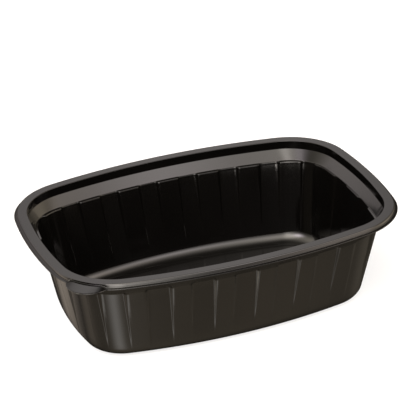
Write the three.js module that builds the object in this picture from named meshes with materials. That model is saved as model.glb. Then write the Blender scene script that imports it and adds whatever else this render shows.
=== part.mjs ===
import * as THREE from "three";

// Rectangular food container, one thin sheet of black plastic, open at the top.
// Millimetres, +Z up, stands on z = 0, long axis along X, front wall at -Y.
// Every level of the sheet is a bowed rectangle: two long arcs, two short arcs and a
// tangent arc at each corner, moved inwards step by step from the outer rim ring.

// ---- driving sizes -------------------------------------------------------------------
const HEIGHT = 62.5;
const SHEET = 0.6; // wall of the moulded sheet
const HALF_LENGTH = 109.3; // outer rim ring, on the long axis
const HALF_WIDTH = 78.8; // outer rim ring, on the short axis
const LONG_ARC = 368.4; // radius of the bowed long sides
const SHORT_ARC = 283.7; // radius of the bowed short sides
const CORNER_ARC = 40.2; // radius of the corners

// rim: turned-down skirt with a thin lip, flat top, upright step and steep cone; the
// fluted wall hangs from the foot of the cone. Each size is inwards from the outer rim
// ring, or down from the flat top.
const LIP_OUT = 1.65; // lip beyond the rim ring
const LIP_DEPTH = 2.4; // top of the lip
const RIM_END = 0.55; // outer edge of the flat top
const SHOULDER = [
  [0.2, 0.45],
  [0, 1.1],
]; // inwards and down, bends of the skirt
const SKIRT_FOOT = [-0.1, 2.15];
const STEP_TOP = 6.3;
const STEP_FOOT = 6.5;
const STEP_DEPTH = 5.4;
const CONE_FOOT = 10.7;
const CONE_DEPTH = 11.6;
const WALL_TOP = 10.4; // outer face of the wall, one sheet below the foot of the cone

// opening tab on one corner: the lip grows outwards
const TAB_OUT = 7.6;
const TAB_ANGLE = (45 * Math.PI) / 180; // middle of the tab, seen from the corner centre
const TAB_HALF = (17.5 * Math.PI) / 180;
const TAB_RISE = 1; // the tab starts higher up the skirt than the lip

// fluted wall
const FLUTE_DEPTH = 1.75; // at the top of the wall, running out to nothing at FLUTE_END
const FLUTE_SHORT = 0.7; // share of that depth on the short sides
const FLUTE_END = 9;
const FLUTE_RAMP = 1.5; // width of the sloping side of a flute
const LONG_PITCH = 26.1; // panels on the long walls, one on the middle
const LONG_PANEL = 14.2;
const LONG_LAST = 3; // the panel with this number reaches into the corner
const SHORT_MIDDLE = 17.8; // width of the middle panel of a short wall
const SHORT_SIDE = [23.3, 45.6]; // side panel of a short wall, from and to
const CORNER_TOP = -2; // change of the corner radius at the top of the wall
const CORNER_STATIONS = 9;

// base
const BASE_IN = 20; // how far the wall has moved in at z = 0, on the long axis
const BASE_WIDTH = -3.6; // further on the short axis
const BASE_LONG_ARC = -25;
const BASE_SHORT_ARC = -73;
const BASE_CORNER = 4.2;
const BASE_FILLET = 8.8;
const FILLET_STEPS = 6;

// ---- outline -------------------------------------------------------------------------
// Ring moved inwards by w; base runs from 0 at the top of the wall to 1 at z = 0.
function ringSizes(w, base, corner) {
  return {
    a: HALF_LENGTH - w,
    b: HALF_WIDTH - w + BASE_WIDTH * base,
    long: LONG_ARC - w + BASE_LONG_ARC * base,
    short: SHORT_ARC - w + BASE_SHORT_ARC * base,
    r: CORNER_ARC - w + corner,
  };
}

// Centres and meeting angles of the three arcs of a quarter.
function quarterArcs(w, base, corner) {
  const g = ringSizes(w, base, corner);
  const longC = [0, g.b - g.long];
  const shortC = [g.a - g.short, 0];
  const dx = shortC[0] - longC[0];
  const dy = shortC[1] - longC[1];
  const d = Math.hypot(dx, dy);
  const d1 = g.long - g.r;
  const d2 = g.short - g.r;
  const t = (d1 * d1 - d2 * d2 + d * d) / (2 * d);
  const h = Math.sqrt(Math.max(d1 * d1 - t * t, 0));
  const u = [dx / d, dy / d];
  let c = [longC[0] + t * u[0] - h * u[1], longC[1] + t * u[1] + h * u[0]];
  if (c[0] < 0 || c[1] < 0)
    c = [longC[0] + t * u[0] + h * u[1], longC[1] + t * u[1] - h * u[0]];
  const t1 = Math.atan2(c[1] - shortC[1], c[0] - shortC[0]);
  const t2 = Math.atan2(c[1] - longC[1], c[0] - longC[0]);
  return { ...g, longC, shortC, c, t1, t2 };
}

// Stations are measured on the ring at the top of the wall, from the middle of the
// short side (0) round the corner to the middle of the long side.
const REF = quarterArcs(12, 0, 0);
const SHORT_LEN = REF.short * REF.t1;
const CORNER_LEN = REF.r * (REF.t2 - REF.t1);
const LONG_LEN = REF.long * (Math.PI / 2 - REF.t2);
const QUARTER = SHORT_LEN + CORNER_LEN + LONG_LEN;

function stationOfX(x) {
  if (x <= REF.c[0] + REF.r * Math.cos(REF.t2))
    return QUARTER - REF.long * Math.asin(x / REF.long);
  return SHORT_LEN + REF.r * (Math.acos((x - REF.c[0]) / REF.r) - REF.t1);
}

function stationOfY(y) {
  if (y <= REF.c[1] + REF.r * Math.sin(REF.t1))
    return REF.short * Math.asin(y / REF.short);
  return SHORT_LEN + REF.r * (Math.asin((y - REF.c[1]) / REF.r) - REF.t1);
}

// Point of the quarter at station s on a ring, moved further inwards by d.
function quarterPoint(arcs, s, d) {
  let centre, radius, angle;
  if (s <= SHORT_LEN) {
    centre = arcs.shortC;
    radius = arcs.short;
    angle = (arcs.t1 * s) / SHORT_LEN;
  } else if (s <= SHORT_LEN + CORNER_LEN) {
    centre = arcs.c;
    radius = arcs.r;
    angle = arcs.t1 + ((arcs.t2 - arcs.t1) * (s - SHORT_LEN)) / CORNER_LEN;
  } else {
    centre = arcs.longC;
    radius = arcs.long;
    const f = (s - SHORT_LEN - CORNER_LEN) / LONG_LEN;
    angle = arcs.t2 + (Math.PI / 2 - arcs.t2) * f;
  }
  const reach = radius - d;
  return [centre[0] + reach * Math.cos(angle), centre[1] + reach * Math.sin(angle), angle];
}

// ---- flutes --------------------------------------------------------------------------
// Panels that stand in, as [from, to] stations of a quarter.
function inPanels() {
  const panels = [
    [-stationOfY(SHORT_MIDDLE / 2), stationOfY(SHORT_MIDDLE / 2)],
    [stationOfY(SHORT_SIDE[0]), stationOfY(SHORT_SIDE[1])],
  ];
  for (let k = LONG_LAST; k >= 0; k--) {
    const middle = k * LONG_PITCH;
    const near = middle - LONG_PANEL / 2;
    const inner = near < 0 ? 2 * QUARTER - stationOfX(-near) : stationOfX(near);
    panels.push([stationOfX(middle + LONG_PANEL / 2), inner]);
  }
  return panels;
}
const PANELS = inPanels();

// How far in the wall stands at station s, sloping at the sides of each panel.
function fluteInset(s) {
  let most = 0;
  PANELS.forEach(([from, to], k) => {
    const rise = (s - from) / FLUTE_RAMP + 0.5;
    const fall = (to - s) / FLUTE_RAMP + 0.5;
    const depth = FLUTE_DEPTH * (k < 2 ? FLUTE_SHORT : 1);
    most = Math.max(most, depth * Math.min(rise, fall, 1));
  });
  return most;
}

function quarterStations() {
  const list = [0, QUARTER];
  for (const panel of PANELS)
    for (const edge of panel)
      for (const side of [-FLUTE_RAMP / 2, FLUTE_RAMP / 2]) list.push(edge + side);
  for (let i = 0; i <= CORNER_STATIONS; i++)
    list.push(SHORT_LEN + (CORNER_LEN * i) / CORNER_STATIONS);
  const sorted = list.filter((s) => s >= 0 && s <= QUARTER).sort((p, q) => p - q);
  const kept = [sorted[0]];
  for (const s of sorted.slice(1)) if (s - kept[kept.length - 1] > 0.7) kept.push(s);
  kept[kept.length - 1] = QUARTER;
  return kept;
}

// ---- one level of the sheet ----------------------------------------------------------
// How far the tab reaches out at this angle of the corner.
function tabReach(angle) {
  const x = (angle - TAB_ANGLE) / TAB_HALF;
  return Math.abs(x) < 1 ? TAB_OUT * Math.pow(1 - x * x, 0.8) : 0;
}

// Points of one quarter of a level. Beside the tab the level reaches out with the tab,
// or falls back behind it, and rises.
function quarterOf(level, stations, withTab) {
  const arcs = quarterArcs(level.w, level.base || 0, level.corner || 0);
  return stations.map((s) => {
    const [x, y, angle] = quarterPoint(arcs, s, (level.flute || 0) * fluteInset(s));
    if (!withTab || s <= SHORT_LEN || s >= SHORT_LEN + CORNER_LEN) return [x, y, level.z];
    const reach = tabReach(angle);
    const near = THREE.MathUtils.smoothstep((2 * reach) / TAB_OUT, 0, 1);
    const out = (level.tab || 0) * reach - (level.fall || 0) * near;
    const z = level.z + (level.rise || 0) * near;
    return [x + out * Math.cos(angle), y + out * Math.sin(angle), z];
  });
}

// Closed loop of points, counter-clockwise from +X; the tab is in the quarter -X -Y.
function loopOf(level, stations) {
  const plain = quarterOf(level, stations, false);
  const tabbed = quarterOf(level, stations, true);
  return [
    ...plain,
    ...plain.slice(0, -1).reverse().map(([x, y, z]) => [-x, y, z]),
    ...tabbed.slice(1).map(([x, y, z]) => [-x, -y, z]),
    ...plain.slice(1, -1).reverse().map(([x, y, z]) => [x, -y, z]),
  ];
}

// ---- section of the sheet ------------------------------------------------------------
const down = (w, depth, more = {}) => ({ w, z: HEIGHT - depth, ...more });

// Wall and base fillet of one face of the sheet, from the given depth downwards; inset is
// its distance from the outer face.
function wallLevels(topDepth, inset) {
  const wallZ = HEIGHT - CONE_DEPTH - SHEET;
  const slope = (BASE_IN - WALL_TOP) / wallZ;
  const draft = Math.atan(slope);
  const lineW = (z) => WALL_TOP + slope * (wallZ - z) + inset / Math.cos(draft);
  const radius = BASE_FILLET - inset;
  const tangentZ = BASE_FILLET - radius * Math.sin(draft);
  const centreW = lineW(tangentZ) + radius * Math.cos(draft);
  const clamp = (x) => Math.min(Math.max(x, 0), 1);
  const level = (w, z) => ({
    w,
    z,
    base: clamp((wallZ - z) / wallZ),
    flute: clamp((z - FLUTE_END) / (wallZ - FLUTE_END)),
    corner: CORNER_TOP + (BASE_CORNER - CORNER_TOP) * clamp((wallZ - z) / wallZ),
  });
  const levels = [HEIGHT - topDepth, HEIGHT * 0.48, FLUTE_END].map((z) => level(lineW(z), z));
  for (let i = 0; i <= FILLET_STEPS; i++) {
    const a = draft + ((Math.PI / 2 - draft) * i) / FILLET_STEPS;
    levels.push(level(centreW - radius * Math.cos(a), BASE_FILLET - radius * Math.sin(a)));
  }
  return levels;
}

const STEP = { corner: 1 };
const WALL = { corner: CORNER_TOP };

function upperFace() {
  return [
    down(-LIP_OUT, LIP_DEPTH, { tab: 1, rise: 0.3 }),
    down(...SKIRT_FOOT, { rise: TAB_RISE, fall: 0.75 }),
    down(...SHOULDER[1], { rise: TAB_RISE / 2, fall: 0.6 }),
    down(...SHOULDER[0], { rise: 0.15, fall: 0.35 }),
    down(RIM_END, 0),
    down(STEP_TOP - 0.2, 0, STEP),
    down(STEP_TOP + 0.03, 0.3, STEP),
    down(STEP_FOOT, STEP_DEPTH, STEP),
    down(CONE_FOOT, CONE_DEPTH, WALL),
    down(CONE_FOOT + 0.07, CONE_DEPTH + 0.12, { ...WALL, flute: 0.05 }),
    down(CONE_FOOT + 0.2, CONE_DEPTH + 0.15, { ...WALL, flute: 0.6 }),
    ...wallLevels(CONE_DEPTH + 0.9, SHEET),
  ];
}

function lowerFace() {
  return [
    down(-LIP_OUT, LIP_DEPTH + SHEET, { tab: 1, rise: 0.3 }),
    down(SKIRT_FOOT[0] + 0.6, SKIRT_FOOT[1] + 0.6, { rise: TAB_RISE, fall: 0.3 }),
    down(SHOULDER[1][0] + 0.6, SHOULDER[1][1] + 0.2, { fall: 0.4 }),
    down(RIM_END + 0.4, SHEET),
    down(STEP_TOP - 0.55, SHEET, STEP),
    down(STEP_FOOT - 0.6, STEP_DEPTH + 0.15, STEP),
    down(CONE_FOOT - 1.55, CONE_DEPTH - 1.2, WALL),
    down(CONE_FOOT - 0.95, CONE_DEPTH - 0.3, { ...WALL, flute: 0.12 }),
    down(CONE_FOOT - 0.55, CONE_DEPTH + 0.5, { ...WALL, flute: 0.45 }),
    down(CONE_FOOT - 0.35, CONE_DEPTH + 0.75, { ...WALL, flute: 1 }),
    ...wallLevels(CONE_DEPTH + 2, 0),
  ];
}

// ---- closed surface ------------------------------------------------------------------
function sheetGeometry() {
  const stations = quarterStations();
  const upper = upperFace().reverse(); // from the floor out to the lip
  const loops = [...upper, ...lowerFace()].map((level) => loopOf(level, stations));
  const n = loops[0].length;
  const points = loops.flat();
  const floorTop = points.push([0, 0, upper[0].z]) - 1;
  const floorUnder = points.push([0, 0, loops[loops.length - 1][0][2]]) - 1;
  const index = [];
  for (let i = 0; i < n; i++) {
    const j = (i + 1) % n;
    index.push(floorTop, i, j);
    for (let k = 0; k + 1 < loops.length; k++) {
      const a = k * n;
      const b = a + n;
      index.push(a + i, b + i, b + j, a + i, b + j, a + j);
    }
    const last = (loops.length - 1) * n;
    index.push(floorUnder, last + j, last + i);
  }
  const geometry = new THREE.BufferGeometry();
  geometry.setAttribute("position", new THREE.Float32BufferAttribute(points.flat(), 3));
  geometry.setIndex(index);
  geometry.computeVertexNormals();
  return geometry;
}

function blackPlastic() {
  return new THREE.MeshStandardMaterial({ color: 0x0a0a09, roughness: 0.1, metalness: 0 });
}

const group = new THREE.Group();
const container = new THREE.Mesh(sheetGeometry(), blackPlastic());
container.name = "container";
group.add(container);

export default group;
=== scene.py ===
"""Looks of an open black plastic food container: the curved sheet, its plastic and a studio."""

import math

import bpy
import numpy as np
from mathutils import Matrix, Vector

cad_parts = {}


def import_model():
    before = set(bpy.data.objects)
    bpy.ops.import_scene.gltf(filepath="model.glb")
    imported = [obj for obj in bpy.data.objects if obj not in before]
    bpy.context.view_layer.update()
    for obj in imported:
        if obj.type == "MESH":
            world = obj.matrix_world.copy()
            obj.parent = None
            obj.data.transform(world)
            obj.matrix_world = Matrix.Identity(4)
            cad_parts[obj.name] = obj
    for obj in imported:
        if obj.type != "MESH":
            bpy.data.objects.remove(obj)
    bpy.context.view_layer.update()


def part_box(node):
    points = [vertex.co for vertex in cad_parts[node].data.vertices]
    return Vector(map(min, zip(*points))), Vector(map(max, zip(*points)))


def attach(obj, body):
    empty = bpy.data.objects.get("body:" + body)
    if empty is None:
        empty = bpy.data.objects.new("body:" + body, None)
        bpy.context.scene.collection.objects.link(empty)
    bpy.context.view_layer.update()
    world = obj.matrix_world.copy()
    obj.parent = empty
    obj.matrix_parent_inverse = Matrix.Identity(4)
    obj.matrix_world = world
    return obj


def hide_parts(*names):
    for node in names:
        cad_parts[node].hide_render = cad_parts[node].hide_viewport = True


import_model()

MM = 0.001

# ---- sizes in millimetres, worked out from the CAD box --------------------------------
# A place in the sheet's section is given as w, the distance inwards from the outline of
# the skirt just below the rim (the rim ring), and as a depth below the top of the rim.
_, box_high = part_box("container")
LIP_OUT = 1.65  # how far the lip stands out beyond the rim ring
HALF_LENGTH = box_high.x / MM - LIP_OUT
HALF_WIDTH = box_high.y / MM - LIP_OUT
HEIGHT = box_high.z / MM
SHEET = 0.6

LONG_ARC = 368.4  # radii of the rim ring: bowed long sides, bowed short sides, corners
SHORT_ARC = 283.7
CORNER_ARC = 40.2

RIM_END = 0.55  # w of the outer edge of the flat rim
SHOULDER = ((0.2, 0.45), (0.0, 1.1))  # w and depth of the bends in the skirt below the rim
SKIRT_FOOT = (-0.1, 2.15)
LIP_DEPTH = 2.4
STEP_TOP = 6.3  # w of the steep step inside the rim, and its depth
STEP_FOOT = 6.5
STEP_DEPTH = 5.4
STEP_CORNER = 1.0  # corner radius change at the step
CONE_FOOT = 10.7  # w and depth of the foot of the slanting band below the step
CONE_DEPTH = 11.6
WALL_TOP = 10.4  # w of the wall's outer face at its top, one sheet below the cone's foot
WALL_CORNER = -2.0  # corner radius change at the top of the wall
WALL_START = 2.2  # the inner face is plain wall from this far below the cone's foot

TAB_OUT = 7.6
TAB_ANGLE = math.radians(45)
TAB_HALF = math.radians(17.5)
TAB_ROUND = 0.8  # a power: 0.5 gives a half ellipse, 1 a parabola
TAB_RISE = 1.0  # the tab starts higher up the skirt than the lip

FLUTE_DEPTH = 1.75  # on the long sides
FLUTE_SHORT = 0.7  # share of that depth on the short sides
FLUTE_END = 9.0  # height at which the flutes have faded out
FLUTE_EASE = 0.03  # softens that end
FLUTE_RAMP = 1.5  # width of a flute's side where it is deepest
FLUTE_NARROW = 0.2  # the least share of that width, where the flutes fade out
LONG_PITCH = 26.1
LONG_PANEL = 14.2
LONG_LAST = 3  # the long sides have a panel at the middle and this many on either side
SHORT_MIDDLE = 17.8  # width of the short sides' middle panel
SHORT_SIDE = (23.3, 45.6)  # from and to, for the panel on either side of it

BASE_IN = 20.0  # w at which the wall's line meets the ground
BASE_WIDTH = -3.6  # change of half width, of the arcs and of the corner radius at the base
BASE_LONG_ARC = -25.0
BASE_SHORT_ARC = -73.0
BASE_CORNER = 4.2
BASE_FILLET = 8.8

WALL_HEIGHT = HEIGHT - CONE_DEPTH - SHEET
WALL_SLOPE = (BASE_IN - WALL_TOP) / WALL_HEIGHT

# ---- fineness of the mesh -------------------------------------------------------------
STATION_STEP = 1.3  # along the outline
RAMP_STEP = 0.33  # across the side of a flute
RAMP_MARGIN = 0.2  # fine steps go this far beyond the side of a flute
ARC_STEPS = 6  # across each rounded edge of the section
HOLD = 0.12  # a level this far beyond each rounded edge keeps the long faces even
OWN_ROOM = 0.95  # share of a straight stretch that one rounded edge may use up
SHARED_ROOM = 0.48  # the same where both ends are rounded
WALL_ROWS = 10
FILLET_STEPS = 12
FLOOR_RINGS = (0.8, 0.44, 0.1232)  # rings of the flat floor, as shares of its edge

# ---- camera, fitted by a program to the container's outline in the photograph ---------
CAMERA_AZIMUTH = math.radians(-19.447)  # from the front (-Y) towards +X
CAMERA_ELEVATION = math.radians(26.605)
CAMERA_ROLL = math.radians(-3.126)
CAMERA_DISTANCE = 1.40464  # metres to the origin along the view
CAMERA_ACROSS = 0.005845  # metres from the picture's middle to the origin, right and up
CAMERA_UP = -0.059481
CAMERA_LENS = 205.48
CAMERA_SENSOR = 36.0

FLOOR_HALF = 12.0  # metres
FLOOR_GAP = 0.00005  # the floor lies a hair below the base, so the two never share a plane


# ---- outline --------------------------------------------------------------------------
def quarter_arcs(w, base=0.0, corner=0.0):
    """Radii, centres and meeting angles of the three arcs of a quarter, moved inwards by w."""
    a = HALF_LENGTH - w
    b = HALF_WIDTH - w + BASE_WIDTH * base
    long_r = LONG_ARC - w + BASE_LONG_ARC * base
    short_r = SHORT_ARC - w + BASE_SHORT_ARC * base
    r = CORNER_ARC - w + corner
    long_c = np.array([0.0, b - long_r])
    short_c = np.array([a - short_r, 0.0])
    # The corner's circle touches both others from inside, so its centre is known.
    d1, d2 = long_r - r, short_r - r
    apart = np.linalg.norm(short_c - long_c)
    t = (d1 * d1 - d2 * d2 + apart * apart) / (2 * apart)
    h = math.sqrt(max(d1 * d1 - t * t, 0.0))
    u = (short_c - long_c) / apart
    side = np.array([-u[1], u[0]])
    c = long_c + t * u + h * side
    if c[0] < 0 or c[1] < 0:
        c = long_c + t * u - h * side
    t1 = math.atan2(c[1] - short_c[1], c[0] - short_c[0])
    t2 = math.atan2(c[1] - long_c[1], c[0] - long_c[0])
    return {
        "radii": (short_r, r, long_r),
        "centres": (short_c, c, long_c),
        "angles": (0.0, t1, t2, math.pi / 2),
    }


# Stations run along a ring near the top of the wall, from the middle of the short side
# (0), round the corner, to the middle of the long side.
REF_IN = 12.0  # w of that ring
REF = quarter_arcs(REF_IN)
SPANS = [r * (q - p) for r, p, q in zip(REF["radii"], REF["angles"], REF["angles"][1:])]
STARTS = np.cumsum([0.0] + SPANS)
QUARTER = STARTS[3]


def station_of_x(x):
    (_, r, long_r), (_, c, _), (_, t1, t2, _) = REF["radii"], REF["centres"], REF["angles"]
    if x <= c[0] + r * math.cos(t2):
        return QUARTER - long_r * math.asin(x / long_r)
    return STARTS[1] + r * (math.acos((x - c[0]) / r) - t1)


def station_of_y(y):
    (short_r, r, _), (_, c, _), (_, t1, _, _) = REF["radii"], REF["centres"], REF["angles"]
    if y <= c[1] + r * math.sin(t1):
        return short_r * math.asin(y / short_r)
    return STARTS[1] + r * (math.asin((y - c[1]) / r) - t1)


def quarter_points(arcs, stations, inward):
    """Points and angles of the quarter at the stations, each moved further inwards."""
    points = np.zeros((len(stations), 2))
    angles = np.zeros(len(stations))
    part = np.clip(np.searchsorted(STARTS, stations, side="left") - 1, 0, 2)
    for k in range(3):
        here = part == k
        share = (stations[here] - STARTS[k]) / SPANS[k]
        angle = arcs["angles"][k] + share * (arcs["angles"][k + 1] - arcs["angles"][k])
        reach = arcs["radii"][k] - inward[here]
        turned = np.column_stack([np.cos(angle), np.sin(angle)])
        points[here] = arcs["centres"][k] + reach[:, None] * turned
        angles[here] = angle
    return points, angles


# ---- flutes ---------------------------------------------------------------------------
def short_panels():
    """Panels of the short side that stand in, as (from, to) stations of a quarter."""
    half = station_of_y(SHORT_MIDDLE / 2)
    return [(-half, half), tuple(station_of_y(y) for y in SHORT_SIDE)]


def long_panels():
    """The same for the long side; the middle panel runs on past the end of the quarter."""
    panels = []
    for k in range(LONG_LAST, -1, -1):
        far, near = k * LONG_PITCH + LONG_PANEL / 2, k * LONG_PITCH - LONG_PANEL / 2
        end = 2 * QUARTER - station_of_x(-near) if near < 0 else station_of_x(near)
        panels.append((station_of_x(far), end))
    return panels


PANELS = [(*panel, FLUTE_DEPTH * FLUTE_SHORT) for panel in short_panels()]
PANELS += [(*panel, FLUTE_DEPTH) for panel in long_panels()]


def flute_inset(s, share):
    """How far in each station stands, with sides that narrow as the flutes get shallower."""
    ramp = FLUTE_RAMP * max(share, FLUTE_NARROW)
    most = np.zeros_like(s)
    for start, end, depth in PANELS:
        rise = (s - start) / ramp + 0.5
        fall = (end - s) / ramp + 0.5
        most = np.maximum(most, depth * np.clip(np.minimum(rise, fall), 0, 1))
    return most * share


def quarter_stations():
    """Even steps along the outline, finer across the sides of the flutes."""
    marks = list(np.linspace(0, QUARTER, int(QUARTER / STATION_STEP) + 1))
    reach = FLUTE_RAMP / 2 + RAMP_MARGIN
    for edge in (e for panel in PANELS for e in panel[:2]):
        marks = [m for m in marks if abs(m - edge) > reach + STATION_STEP / 3]
        marks += list(np.arange(edge - reach, edge + reach + 1e-6, RAMP_STEP))
    marks = sorted(m for m in marks if 0 < m < QUARTER)
    return np.array([0.0] + marks + [QUARTER])


# ---- section of the sheet -------------------------------------------------------------
# A level is one ring of the sheet, as eight numbers: w, the height, its share in the change
# of outline towards the base, its change of corner radius, its share in the flutes and in
# the tab, and how far it rises and how far it tucks inwards beside the tab.
def level(w, depth, corner=0.0, flute=0.0, tab=0.0, rise=0.0, tuck=0.0, radius=0.0):
    """A level of the rim, step or cone, with the radius that rounds the section there."""
    return np.array([w, HEIGHT - depth, 0.0, corner, flute, tab, rise, tuck]), radius


def rounded(path):
    """The path's levels with each corner that has a radius turned into an arc."""
    out = []
    for i, (at, radius) in enumerate(path):
        if not radius or i in (0, len(path) - 1):
            out.append(at)
            continue
        back, ahead = path[i - 1][0] - at, path[i + 1][0] - at
        long_back, long_ahead = np.linalg.norm(back[:2]), np.linalg.norm(ahead[:2])
        cosine = float(np.clip(back[:2] @ ahead[:2] / (long_back * long_ahead), -1, 1))
        half = math.acos(cosine) / 2
        room_back = long_back * (SHARED_ROOM if path[i - 1][1] else OWN_ROOM)
        room_ahead = long_ahead * (SHARED_ROOM if path[i + 1][1] else OWN_ROOM)
        cut = min(radius / math.tan(half), room_back, room_ahead)
        start, end = at + back / long_back * cut, at + ahead / long_ahead * cut
        middle = at[:2] + (start[:2] + end[:2] - 2 * at[:2]) / 2 / math.cos(half) ** 2
        p, q = start[:2] - middle, end[:2] - middle
        sweep = math.pi - 2 * half
        if room_back > cut + HOLD:
            out.append(at + back / long_back * (cut + HOLD))
        for k in range(ARC_STEPS + 1):
            share = k / ARC_STEPS
            mix = start * (1 - share) + end * share
            f = math.sin((1 - share) * sweep), math.sin(share * sweep)
            mix[:2] = middle + (p * f[0] + q * f[1]) / math.sin(sweep)
            out.append(mix)
        if room_ahead > cut + HOLD:
            out.append(at + ahead / long_ahead * (cut + HOLD))
    return out


def wall_level(w, z):
    """A level of the wall or base, where outline, corners and flutes change with height."""
    base = min(max((WALL_HEIGHT - z) / WALL_HEIGHT, 0), 1)
    corner = WALL_CORNER + (BASE_CORNER - WALL_CORNER) * base
    u = (z - FLUTE_END) / (WALL_HEIGHT - FLUTE_END)
    flute = min((u + math.sqrt(u * u + FLUTE_EASE * FLUTE_EASE)) / 2, 1)
    return np.array([w, z, base, corner, flute if z > FLUTE_END else 0.0, 0, 0, 0])


def wall_levels(top_z, inset):
    """Wall and base fillet of one face; inset is its distance from the outer face."""
    draft = math.atan(WALL_SLOPE)
    radius = BASE_FILLET - inset
    tangent_z = BASE_FILLET - radius * math.sin(draft)

    def line_w(z):
        return WALL_TOP + WALL_SLOPE * (WALL_HEIGHT - z) + inset / math.cos(draft)

    levels = [wall_level(line_w(z), z) for z in np.linspace(top_z, tangent_z, WALL_ROWS)]
    centre_w = line_w(tangent_z) + radius * math.cos(draft)
    for a in np.linspace(draft, math.pi / 2, FILLET_STEPS + 1)[1:]:
        w, z = centre_w - radius * math.cos(a), BASE_FILLET - radius * math.sin(a)
        levels.append(wall_level(w, z))
    return levels


def upper_face():
    """Levels of the face that the food touches, from the lip to the floor."""
    wall = wall_levels(HEIGHT - CONE_DEPTH - WALL_START, SHEET)

    wall_w = wall[0][0]

    def below_cone(w, below, flute):
        """A level this far below the foot of the cone."""
        return level(w, CONE_DEPTH + below, corner=WALL_CORNER, flute=flute)

    path = [
        level(-LIP_OUT, LIP_DEPTH + SHEET / 2, tab=1, rise=0.3),  # lip
        level(-LIP_OUT, LIP_DEPTH, tab=1, rise=0.3, radius=0.15),
        level(*SKIRT_FOOT, rise=TAB_RISE, tuck=0.75, radius=0.25),
        level(*SHOULDER[1], rise=TAB_RISE / 2, tuck=0.6, radius=0.8),
        level(*SHOULDER[0], rise=0.15, tuck=0.35, radius=0.4),
        level(RIM_END, 0.0, radius=0.3),  # flat rim
        level(STEP_TOP, 0.0, corner=STEP_CORNER, radius=0.35),
        level(STEP_FOOT, STEP_DEPTH, corner=STEP_CORNER, radius=0.3),
        level(CONE_FOOT, CONE_DEPTH, corner=WALL_CORNER, radius=0.1),
        below_cone(CONE_FOOT + 0.07, 0.11, 0.05),  # small flat shelf at the top of a panel
        below_cone(CONE_FOOT + 0.08, 0.12, 0.12),
        below_cone(CONE_FOOT + 0.17, 0.14, 0.9),
        below_cone(CONE_FOOT + 0.2, 0.17, 0.97),
        below_cone(wall_w - 0.38, 0.22, 0.985),  # top of the wall, on the wall's own line
        below_cone(wall_w - 0.23, 1.0, 0.982),
        (wall[0], 0.0),
    ]
    return rounded(path) + wall[1:]


def lower_face():
    """Levels of the outside, from the lip's underside to the base."""
    wall = wall_levels(WALL_HEIGHT - 1.4, 0.0)
    foot_w, foot_depth = SKIRT_FOOT
    path = [
        level(-LIP_OUT, LIP_DEPTH + SHEET - 0.25, tab=1, rise=0.3),  # lip
        level(-LIP_OUT, LIP_DEPTH + SHEET, tab=1, rise=0.3, radius=0.15),
        level(foot_w + SHEET, foot_depth + SHEET, rise=TAB_RISE, tuck=0.3, radius=0.3),
        level(SHOULDER[1][0] + SHEET, SHOULDER[1][1] + 0.2, tuck=0.4, radius=0.8),
        level(RIM_END + 0.4, SHEET, radius=0.3),  # underside of the rim
        level(STEP_TOP - 0.55, SHEET, corner=STEP_CORNER, radius=0.2),
        level(STEP_FOOT - SHEET, STEP_DEPTH + 0.15, corner=STEP_CORNER, radius=0.4),
        level(CONE_FOOT - 1.55, CONE_DEPTH - 1.2, corner=WALL_CORNER),  # outside of the cone
        level(CONE_FOOT - 0.95, CONE_DEPTH - 0.3, corner=WALL_CORNER, flute=0.12),
        level(CONE_FOOT - 0.55, CONE_DEPTH + 0.5, corner=WALL_CORNER, flute=0.45),
        level(CONE_FOOT - 0.35, CONE_DEPTH + 0.75, corner=WALL_CORNER, flute=1),
        (wall[0], 0.0),
    ]
    return rounded(path) + wall[1:]


# ---- mesh -----------------------------------------------------------------------------
def tab_reach(angle):
    """How far the tab stands out beyond the lip at an angle round its corner."""
    x = (angle - TAB_ANGLE) / TAB_HALF
    return TAB_OUT * np.power(np.clip(1 - x * x, 0, 1), TAB_ROUND)


def near_tab(reach):
    """1 beside the tab and 0 away from it, with a smooth change between."""
    x = np.clip(2 * reach / TAB_OUT, 0, 1)
    return x * x * (3 - 2 * x)


def loop_of(at, stations):
    """Closed loop of one level, counter-clockwise from +X; the tab is on the -X -Y corner."""
    w, z, base, corner, flute, tab, rise, tuck = at
    arcs = quarter_arcs(w, base, corner)
    q, angle = quarter_points(arcs, stations, flute_inset(stations, flute))
    in_corner = (stations > STARTS[1]) & (stations < STARTS[2])
    reach = np.where(in_corner, tab_reach(angle), 0.0)
    near = near_tab(reach)
    out = tab * reach - tuck * near
    tabbed = q + out[:, None] * np.column_stack([np.cos(angle), np.sin(angle)])
    flat = np.vstack([
        q,
        (q * (-1, 1))[-2::-1],
        (tabbed * (-1, -1))[1:],
        (q * (1, -1))[-2:0:-1],
    ])
    heights = np.full(len(flat), z)
    third = 2 * len(q) - 1
    heights[third:third + len(q) - 1] += rise * near[1:]
    return np.column_stack([flat, heights])


def face_loops(levels, stations):
    """Loops of one face, carried on over the flat floor towards its middle."""
    loops = [loop_of(at, stations) for at in levels]
    edge = loops[-1]
    return loops + [edge * (share, share, 1) for share in FLOOR_RINGS]


def container_mesh():
    """The whole sheet as one closed surface, both faces from the lip to the middle."""
    stations = quarter_stations()
    upper = face_loops(upper_face(), stations)
    lower = face_loops(lower_face(), stations)
    loops = upper[::-1] + lower
    n = len(loops[0])
    middles = [[0, 0, face[-1][0][2]] for face in (upper, lower)]
    points = np.vstack(loops + [middles])
    faces = []
    top_middle, under_middle = len(points) - 2, len(points) - 1
    last = (len(loops) - 1) * n
    for i in range(n):
        j = (i + 1) % n
        faces.append((top_middle, i, j))
        faces.append((under_middle, last + j, last + i))
        for k in range(len(loops) - 1):
            a, b = k * n, (k + 1) * n
            faces.append((a + i, b + i, b + j, a + j))
    mesh = bpy.data.meshes.new("container_sheet")
    mesh.from_pydata((points * MM).tolist(), [], faces)
    mesh.validate()
    mesh.shade_smooth()
    return mesh


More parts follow.
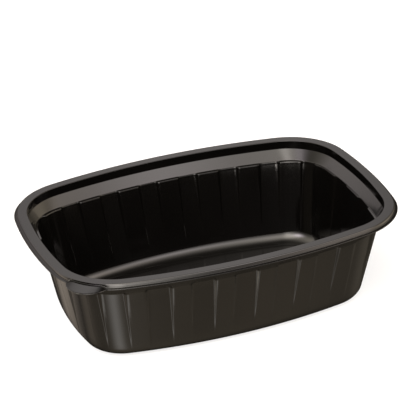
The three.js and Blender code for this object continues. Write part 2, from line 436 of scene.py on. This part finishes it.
# ---- plastic --------------------------------------------------------------------------
def noise(nodes, links, place, scale, detail):
    """Noise that is fixed to the object, as an output socket."""
    made = nodes.new("ShaderNodeTexNoise")
    made.inputs["Scale"].default_value = scale
    made.inputs["Detail"].default_value = detail
    links.new(place.outputs["Object"], made.inputs["Vector"])
    return made.outputs["Fac"]


def black_plastic():
    """Glossy black plastic: faint colour drift, moulding haze and a very fine ripple."""
    material = bpy.data.materials.new("black_plastic")
    material.use_nodes = True
    nodes, links = material.node_tree.nodes, material.node_tree.links
    shader = nodes["Principled BSDF"]
    shader.inputs["IOR"].default_value = 1.5
    place = nodes.new("ShaderNodeTexCoord")

    tint = nodes.new("ShaderNodeMix")
    tint.data_type = "RGBA"
    tint.inputs[6].default_value = (0.0011, 0.0010, 0.0009, 1)
    tint.inputs[7].default_value = (0.0018, 0.0016, 0.0014, 1)
    links.new(noise(nodes, links, place, 22.0, 3.0), tint.inputs[0])
    links.new(tint.outputs[2], shader.inputs["Base Color"])

    rough = nodes.new("ShaderNodeMapRange")
    rough.inputs["To Min"].default_value = 0.08
    rough.inputs["To Max"].default_value = 0.13
    links.new(noise(nodes, links, place, 60.0, 4.0), rough.inputs["Value"])
    links.new(rough.outputs["Result"], shader.inputs["Roughness"])

    ripple = nodes.new("ShaderNodeBump")
    ripple.inputs["Strength"].default_value = 0.05
    ripple.inputs["Distance"].default_value = 0.0002
    links.new(noise(nodes, links, place, 240.0, 2.0), ripple.inputs["Height"])
    links.new(ripple.outputs["Normal"], shader.inputs["Normal"])
    return material


def container():
    """The visible container, which stands for the CAD solid."""
    piece = bpy.data.objects.new("container_sheet", container_mesh())
    bpy.context.scene.collection.objects.link(piece)
    piece.data.materials.append(black_plastic())
    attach(piece, "root")
    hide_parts("container")


# ---- studio ---------------------------------------------------------------------------
def floor():
    """A white light table: it glows softly, so the container throws only a faint shadow."""
    mesh = bpy.data.meshes.new("floor")
    signs = ((-1, -1), (1, -1), (1, 1), (-1, 1))
    corners = [(x * FLOOR_HALF, y * FLOOR_HALF, -FLOOR_GAP) for x, y in signs]
    mesh.from_pydata(corners, [], [(0, 1, 2, 3)])
    plane = bpy.data.objects.new("floor", mesh)
    bpy.context.scene.collection.objects.link(plane)
    material = bpy.data.materials.new("pale_floor")
    material.use_nodes = True
    shader = material.node_tree.nodes["Principled BSDF"]
    shader.inputs["Base Color"].default_value = (0.3, 0.3, 0.3, 1)
    shader.inputs["Roughness"].default_value = 1.0
    shader.inputs["Specular IOR Level"].default_value = 0.0
    shader.inputs["Emission Color"].default_value = (1, 1, 1, 1)
    shader.inputs["Emission Strength"].default_value = 0.72
    mesh.materials.append(material)
    plane.visible_glossy = False
    plane.visible_shadow = False


# Soft lights of the studio: azimuth from the front towards +X and elevation in degrees,
# strength, how narrow, colour. Most of these values came out of a program that fitted
# the lights to the photograph; a few were then changed or added. Each note says
# what in the picture mirrors the light most.
SOFT_LIGHTS = (
    (-20, -2, 8.92, 15.6, (1.06, 0.99, 0.92)),  # shoulder and skirt at the front left
    (-26, 56, 7.49, 14.8, (1.08, 0.99, 0.88)),  # streak at the foot of the back wall
    (-58, 46, 8.53, 47.5, (1.08, 0.96, 1.04)),  # right end of the streak
    (23, 41, 3.46, 42.7, (1.07, 0.98, 0.97)),  # cone at the back
    (-20, 41, 2.2, 60.0, (1.04, 0.99, 0.98)),  # right part of the streak
    (36, -7, 2.78, 26.5, (1.12, 0.98, 0.88)),  # skirt at the front right
    (160, 27.5, 0.98, 130.0, (1.06, 0.99, 0.96)),  # flat rim
    (166, 40, 1.05, 110.0, (1.05, 0.99, 0.97)),  # tab
    (77, 2, 2.11, 6.3, (1.15, 0.99, 0.77)),  # right end of the front wall
    (-36, -57, 1.45, 55.0, (1.02, 1.00, 0.98)),  # front left corner
    (-115, -19, 2.07, 16.3, (1.17, 0.98, 0.78)),  # left wall near that corner
    (40, -51, 0.18, 33.1, (1.19, 0.97, 0.71)),  # weak, leads nowhere
    (191, -28, 0.91, 175.2, (1.16, 0.98, 0.81)),  # left wall at a grazing angle
    (56, 43, 4.32, 34.8, (1.12, 0.98, 0.86)),  # cone at the back left
    (-140, 30, 1.72, 7.1, (1.09, 0.99, 0.96)),  # step and cone at the back right
    (-105, 52, 1.86, 9.2, (1.10, 1.00, 0.80)),  # far right end of the floor's rounding
    (-81, -30, 8.89, 56.6, (1.08, 0.99, 0.84)),  # sides of the flutes on the front wall
    (-29, -62, 0.53, 6.0, (1.16, 0.98, 0.74)),  # front wall itself
)
ROOM_GLOW = (0.006, 0.006, 0.005)


def soft_light(nodes, links, place, azimuth, elevation, strength, narrow, colour):
    """Light that fades smoothly around its direction, as an output socket."""
    a, e = math.radians(azimuth), math.radians(elevation)
    along = nodes.new("ShaderNodeVectorMath")
    along.operation = "DOT_PRODUCT"
    along.inputs[1].default_value = toward(a, e)
    links.new(place.outputs["Generated"], along.inputs[0])
    fade = nodes.new("ShaderNodeMath")
    fade.operation = "MULTIPLY_ADD"
    fade.inputs[1].default_value = narrow
    fade.inputs[2].default_value = math.log(strength) - narrow
    links.new(along.outputs["Value"], fade.inputs[0])
    glow = nodes.new("ShaderNodeMath")
    glow.operation = "EXPONENT"
    links.new(fade.outputs["Value"], glow.inputs[0])
    tinted = nodes.new("ShaderNodeVectorMath")
    tinted.operation = "SCALE"
    tinted.inputs[0].default_value = colour
    links.new(glow.outputs["Value"], tinted.inputs["Scale"])
    return tinted.outputs["Vector"]


def toward(azimuth, elevation):
    """Unit vector towards an azimuth from the front and an elevation, in radians."""
    flat = math.cos(elevation)
    return Vector((math.sin(azimuth) * flat, -math.cos(azimuth) * flat, math.sin(elevation)))


def world():
    """A dark room with the soft lights."""
    made = bpy.data.worlds.new("studio")
    made.use_nodes = True
    nodes, links = made.node_tree.nodes, made.node_tree.links
    place = nodes.new("ShaderNodeTexCoord")
    total = nodes.new("ShaderNodeVectorMath")
    total.inputs[0].default_value = ROOM_GLOW
    for light in SOFT_LIGHTS:
        added = nodes.new("ShaderNodeVectorMath")
        links.new(total.outputs["Vector"], added.inputs[0])
        links.new(soft_light(nodes, links, place, *light), added.inputs[1])
        total = added
    links.new(total.outputs["Vector"], nodes["Background"].inputs["Color"])
    bpy.context.scene.world = made


def camera():
    """The photograph's camera: a long lens, turned, raised and rolled as the outline shows."""
    back = toward(CAMERA_AZIMUTH, CAMERA_ELEVATION)
    level_right = Vector((math.cos(CAMERA_AZIMUTH), math.sin(CAMERA_AZIMUTH), 0))
    level_up = back.cross(level_right)
    right = math.cos(CAMERA_ROLL) * level_right + math.sin(CAMERA_ROLL) * level_up
    up = math.cos(CAMERA_ROLL) * level_up - math.sin(CAMERA_ROLL) * level_right
    eye = CAMERA_DISTANCE * back - CAMERA_ACROSS * right - CAMERA_UP * up
    data = bpy.data.cameras.new("camera")
    data.sensor_width = CAMERA_SENSOR
    data.lens = CAMERA_LENS
    data.clip_start, data.clip_end = 0.05, 60.0
    made = bpy.data.objects.new("camera", data)
    bpy.context.scene.collection.objects.link(made)
    made.matrix_world = Matrix((
        (right.x, up.x, back.x, eye.x),
        (right.y, up.y, back.y, eye.y),
        (right.z, up.z, back.z, eye.z),
        (0, 0, 0, 1),
    ))
    bpy.context.scene.camera = made


camera()
container()
floor()
world()
bpy.context.scene.view_settings.view_transform = "Standard"
